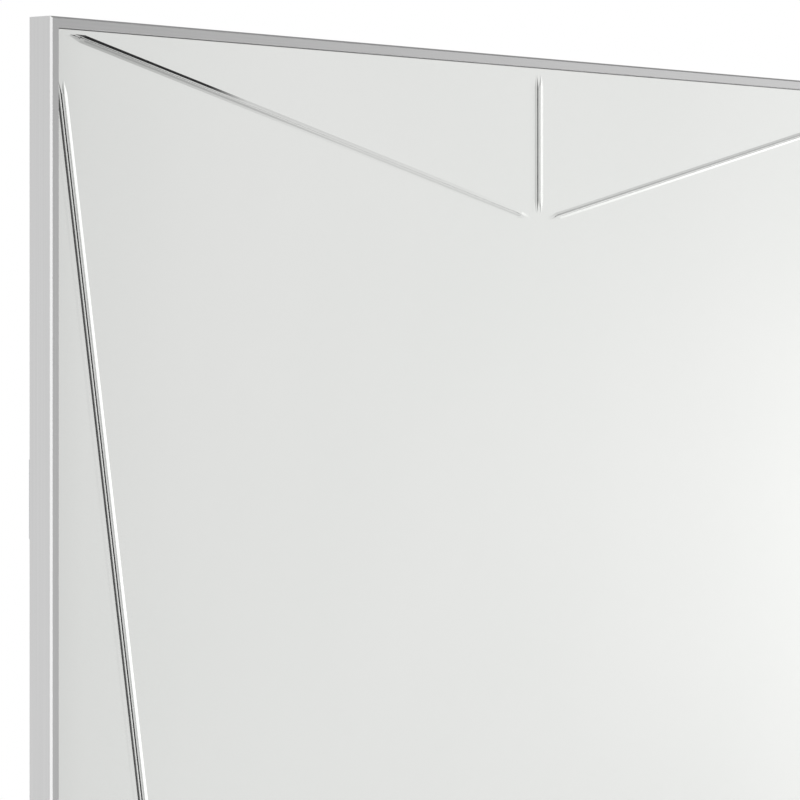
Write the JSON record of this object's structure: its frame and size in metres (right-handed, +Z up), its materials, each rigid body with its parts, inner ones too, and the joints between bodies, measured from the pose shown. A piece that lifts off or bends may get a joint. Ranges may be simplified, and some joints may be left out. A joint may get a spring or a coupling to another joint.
{
  "type": "framed wall mirror",
  "caption": "Large rectangular wall mirror: glass with V-cut star grooves in a slim mitred metal frame, with clamped D-ring hangers and wall bumpers on the back.",
  "frame": {"origin": "middle of the mirror on the wall plane, which the four bumpers touch", "axes": "+X to the viewer's right, +Y into the wall, +Z up in portrait; the mirror faces -Y"},
  "size_m": [0.914, 0.023, 1.219],
  "materials": {
    "frame_metal": "satin polished, clear anodised",
    "glass": "clear float glass, polished grooves",
    "silver": "silvered mirror",
    "back_paint": "grey mirror backing paint",
    "hardboard": "brown hardboard",
    "block_rubber": "black rubber",
    "spring_steel": "blued spring steel",
    "screw_steel": "bright zinc",
    "zinc_plate": "bright zinc plated",
    "ring_wire": "nickel plated wire",
    "bumper_rubber": "soft black rubber"
  },
  "bodies": {
    "mirror": {"backing_board": "hardboard", "bottom_rail": "frame_metal", "corner_backing_plate_bottom_left": "zinc_plate", "corner_backing_plate_bottom_right": "zinc_plate", "corner_backing_plate_top_left": "zinc_plate", "corner_backing_plate_top_right": "zinc_plate", "corner_key_bottom_left": "zinc_plate", "corner_key_bottom_right": "zinc_plate", "corner_key_top_left": "zinc_plate", "corner_key_top_right": "zinc_plate", "corner_set_screws_bottom_left": "screw_steel", "corner_set_screws_bottom_right": "screw_steel", "corner_set_screws_top_left": "screw_steel", "corner_set_screws_top_right": "screw_steel", "hanger_clamp_bottom": "zinc_plate", "hanger_clamp_left": "zinc_plate", "hanger_clamp_right": "zinc_plate", "hanger_clamp_top": "zinc_plate", "hanger_plate_bottom": "zinc_plate", "hanger_plate_left": "zinc_plate", "hanger_plate_right": "zinc_plate", "hanger_plate_top": "zinc_plate", "hanger_screws_bottom": "screw_steel", "hanger_screws_left": "screw_steel", "hanger_screws_right": "screw_steel", "hanger_screws_top": "screw_steel", "left_stile": "frame_metal", "mirror_glass": "glass", "protective_paint": "back_paint", "right_stile": "frame_metal", "setting_block_left": "block_rubber", "setting_block_right": "block_rubber", "silver_layer": "silver", "spring_clips_bottom": "spring_steel", "spring_clips_left": "spring_steel", "spring_clips_right": "spring_steel", "spring_clips_top": "spring_steel", "top_rail": "frame_metal", "wall_bumper_bottom_left": "bumper_rubber", "wall_bumper_bottom_right": "bumper_rubber", "wall_bumper_top_left": "bumper_rubber", "wall_bumper_top_right": "bumper_rubber"},
    "ring_left": {"hanger_ring_left": "ring_wire"},
    "ring_right": {"hanger_ring_right": "ring_wire"},
    "ring_top": {"hanger_ring_top": "ring_wire"},
    "ring_bottom": {"hanger_ring_bottom": "ring_wire"}
  },
  "joints": [
    {"name": "ring_left_swing", "type": "hinge", "parent": "mirror", "child": "ring_left", "pos_m": [-0.4316, -0.0033, 0.3622], "axis": [1, 0, 0], "range_deg": [0, 200]},
    {"name": "ring_right_swing", "type": "hinge", "parent": "mirror", "child": "ring_right", "pos_m": [0.4316, -0.0033, 0.3622], "axis": [1, 0, 0], "range_deg": [0, 200]},
    {"name": "ring_top_swing", "type": "hinge", "parent": "mirror", "child": "ring_top", "pos_m": [-0.2597, -0.0033, 0.5841], "axis": [0, 0, 1], "range_deg": [0, 200]},
    {"name": "ring_bottom_swing", "type": "hinge", "parent": "mirror", "child": "ring_bottom", "pos_m": [-0.2597, -0.0033, -0.5841], "axis": [0, 0, 1], "range_deg": [0, 200]}
  ]
}
